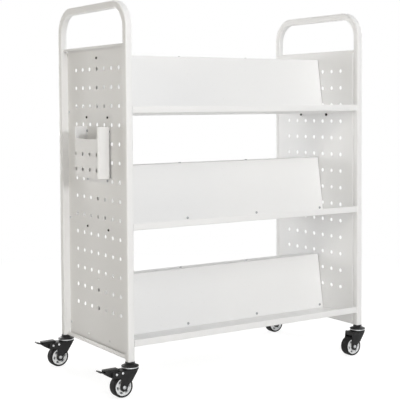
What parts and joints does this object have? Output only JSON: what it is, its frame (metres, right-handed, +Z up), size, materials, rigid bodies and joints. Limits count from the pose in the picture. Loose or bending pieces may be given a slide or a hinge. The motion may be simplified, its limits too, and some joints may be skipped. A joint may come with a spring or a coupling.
{
  "type": "library book trolley",
  "caption": "Double-sided library book trolley with sloping tiers between perforated end panels, tube handles, a pen holder and swivel casters with foot brakes.",
  "frame": {"origin": "on the floor, at the middle of the ground that the trolley covers, brake pedals included", "axes": "+X along the trolley towards its right end, +Y from the front to the rear, +Z up"},
  "size_m": [1.0096, 0.48, 1.15],
  "materials": {
    "white_powder_coat": "fine satin powder coat",
    "black_caster_paint": "semi-gloss black",
    "black_oxide_steel": "black oxide on steel screws",
    "bright_zinc": "bright zinc plate",
    "white_rim_plastic": "moulded white plastic",
    "black_tyre_rubber": "matt black rubber"
  },
  "bodies": {
    "frame": {"end_frame_left": "white_powder_coat", "end_frame_right": "white_powder_coat", "end_panel_left": "white_powder_coat", "end_panel_right": "white_powder_coat", "pen_holder": "white_powder_coat", "tray_top_front": "white_powder_coat", "tray_top_rear": "white_powder_coat", "divider_top": "white_powder_coat", "tray_middle_front": "white_powder_coat", "tray_middle_rear": "white_powder_coat", "divider_middle": "white_powder_coat", "tray_bottom_front": "white_powder_coat", "tray_bottom_rear": "white_powder_coat", "divider_bottom": "white_powder_coat", "bolt_left_top_front": "black_oxide_steel", "bolt_left_top_rear": "black_oxide_steel", "bolt_left_top_ridge": "black_oxide_steel", "bolt_left_middle_front": "black_oxide_steel", "bolt_left_middle_rear": "black_oxide_steel", "bolt_left_middle_ridge": "black_oxide_steel", "bolt_left_bottom_front": "black_oxide_steel", "bolt_left_bottom_rear": "black_oxide_steel", "bolt_left_bottom_ridge": "black_oxide_steel", "bolt_right_top_front": "black_oxide_steel", "bolt_right_top_rear": "black_oxide_steel", "bolt_right_top_ridge": "black_oxide_steel", "bolt_right_middle_front": "black_oxide_steel", "bolt_right_middle_rear": "black_oxide_steel", "bolt_right_middle_ridge": "black_oxide_steel", "bolt_right_bottom_front": "black_oxide_steel", "bolt_right_bottom_rear": "black_oxide_steel", "bolt_right_bottom_ridge": "black_oxide_steel", "caster_front_left_stem": "black_caster_paint", "caster_rear_left_stem": "black_caster_paint", "caster_front_right_stem": "black_caster_paint", "caster_rear_right_stem": "black_caster_paint"},
    "swivel_front_left": {"caster_front_left_race": "bright_zinc", "caster_front_left_yoke": "black_caster_paint", "caster_front_left_axle": "bright_zinc"},
    "wheel_front_left": {"caster_front_left_rim": "white_rim_plastic", "caster_front_left_tyre": "black_tyre_rubber"},
    "pedal_front_left": {"brake_pedal_front_left": "black_caster_paint"},
    "swivel_rear_left": {"caster_rear_left_race": "bright_zinc", "caster_rear_left_yoke": "black_caster_paint", "caster_rear_left_axle": "bright_zinc"},
    "wheel_rear_left": {"caster_rear_left_rim": "white_rim_plastic", "caster_rear_left_tyre": "black_tyre_rubber"},
    "pedal_rear_left": {"brake_pedal_rear_left": "black_caster_paint"},
    "swivel_front_right": {"caster_front_right_race": "bright_zinc", "caster_front_right_yoke": "black_caster_paint", "caster_front_right_axle": "bright_zinc"},
    "wheel_front_right": {"caster_front_right_rim": "white_rim_plastic", "caster_front_right_tyre": "black_tyre_rubber"},
    "swivel_rear_right": {"caster_rear_right_race": "bright_zinc", "caster_rear_right_yoke": "black_caster_paint", "caster_rear_right_axle": "bright_zinc"},
    "wheel_rear_right": {"caster_rear_right_rim": "white_rim_plastic", "caster_rear_right_tyre": "black_tyre_rubber"}
  },
  "joints": [
    {"name": "swivel_front_left", "type": "hinge", "parent": "frame", "child": "swivel_front_left", "pos_m": [-0.39925, -0.214, 0.09], "axis": [0, 0, 1], "continuous": true},
    {"name": "roll_front_left", "type": "hinge", "parent": "swivel_front_left", "child": "wheel_front_left", "pos_m": [-0.42925, -0.214, 0.0318], "axis": [0, 1, 0], "continuous": true},
    {"name": "brake_front_left", "type": "hinge", "parent": "swivel_front_left", "child": "pedal_front_left", "pos_m": [-0.45285, -0.214, 0.072], "axis": [0, -1, 0], "range_deg": [0, 10]},
    {"name": "swivel_rear_left", "type": "hinge", "parent": "frame", "child": "swivel_rear_left", "pos_m": [-0.39925, 0.214, 0.09], "axis": [0, 0, 1], "continuous": true},
    {"name": "roll_rear_left", "type": "hinge", "parent": "swivel_rear_left", "child": "wheel_rear_left", "pos_m": [-0.42925, 0.214, 0.0318], "axis": [0, 1, 0], "continuous": true},
    {"name": "brake_rear_left", "type": "hinge", "parent": "swivel_rear_left", "child": "pedal_rear_left", "pos_m": [-0.45285, 0.214, 0.072], "axis": [0, -1, 0], "range_deg": [0, 10]},
    {"name": "swivel_front_right", "type": "hinge", "parent": "frame", "child": "swivel_front_right", "pos_m": [0.47875, -0.214, 0.09], "axis": [0, 0, 1], "continuous": true},
    {"name": "roll_front_right", "type": "hinge", "parent": "swivel_front_right", "child": "wheel_front_right", "pos_m": [0.44875, -0.214, 0.0318], "axis": [0, 1, 0], "continuous": true},
    {"name": "swivel_rear_right", "type": "hinge", "parent": "frame", "child": "swivel_rear_right", "pos_m": [0.47875, 0.214, 0.09], "axis": [0, 0, 1], "continuous": true},
    {"name": "roll_rear_right", "type": "hinge", "parent": "swivel_rear_right", "child": "wheel_rear_right", "pos_m": [0.44875, 0.214, 0.0318], "axis": [0, 1, 0], "continuous": true}
  ]
}
